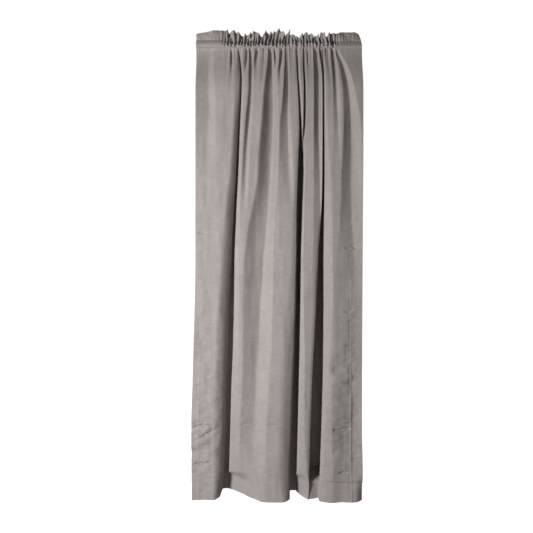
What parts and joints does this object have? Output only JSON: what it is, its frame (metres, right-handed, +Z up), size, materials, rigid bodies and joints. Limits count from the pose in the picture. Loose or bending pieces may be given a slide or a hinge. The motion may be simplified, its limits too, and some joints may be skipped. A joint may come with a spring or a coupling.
{
  "type": "room curtain panel",
  "caption": "Fabric curtain panel with a rod pocket and ruffled heading, gathered in vertical folds that draw apart along the rod, with turned-up stitched hems.",
  "frame": {"origin": "on the curtain rod's axis, at the middle of the panel's hung width", "axes": "+X along the rod, to the right seen from the room; +Y towards the window, so the cloth's face looks along -Y; +Z up"},
  "size_m": [0.769, 0.1287, 2.135],
  "materials": {
    "fabric": "matte warm grey plain weave with slubs, unlined",
    "thread": "matte polyester sewing thread in a warm grey"
  },
  "bodies": {
    "left_panel": {"pocket_front_left_panel": "fabric", "pocket_back_left_panel": "fabric", "heading_front_left_panel": "fabric", "heading_back_left_panel": "fabric", "drape_left_panel": "fabric", "bottom_hem_left_panel": "fabric", "heading_seam_left_panel": "thread", "pocket_seam_left_panel": "thread", "hem_seam_left_panel": "thread", "left_side_hem": "fabric", "left_side_seam": "thread"},
    "wide_fold": {"pocket_front_wide_fold": "fabric", "pocket_back_wide_fold": "fabric", "heading_front_wide_fold": "fabric", "heading_back_wide_fold": "fabric", "drape_wide_fold": "fabric", "bottom_hem_wide_fold": "fabric", "heading_seam_wide_fold": "thread", "pocket_seam_wide_fold": "thread", "hem_seam_wide_fold": "thread"},
    "narrow_fold": {"pocket_front_narrow_fold": "fabric", "pocket_back_narrow_fold": "fabric", "heading_front_narrow_fold": "fabric", "heading_back_narrow_fold": "fabric", "drape_narrow_fold": "fabric", "bottom_hem_narrow_fold": "fabric", "heading_seam_narrow_fold": "thread", "pocket_seam_narrow_fold": "thread", "hem_seam_narrow_fold": "thread"},
    "right_panel": {"pocket_front_right_panel": "fabric", "pocket_back_right_panel": "fabric", "heading_front_right_panel": "fabric", "heading_back_right_panel": "fabric", "drape_right_panel": "fabric", "bottom_hem_right_panel": "fabric", "heading_seam_right_panel": "thread", "pocket_seam_right_panel": "thread", "hem_seam_right_panel": "thread", "right_side_hem": "fabric", "right_side_seam": "thread"}
  },
  "joints": [
    {"name": "draw_left_fold", "type": "slide", "parent": "left_panel", "child": "wide_fold", "axis": [1, 0, 0], "range_m": [0, 0.045]},
    {"name": "draw_middle_fold", "type": "slide", "parent": "wide_fold", "child": "narrow_fold", "axis": [1, 0, 0], "range_m": [0, 0.045]},
    {"name": "draw_right_fold", "type": "slide", "parent": "narrow_fold", "child": "right_panel", "axis": [1, 0, 0], "range_m": [0, 0.045]}
  ],
  "couplings": [
    {"joint": "draw_middle_fold", "follows": "draw_left_fold", "ratio": 1},
    {"joint": "draw_right_fold", "follows": "draw_left_fold", "ratio": 1}
  ]
}
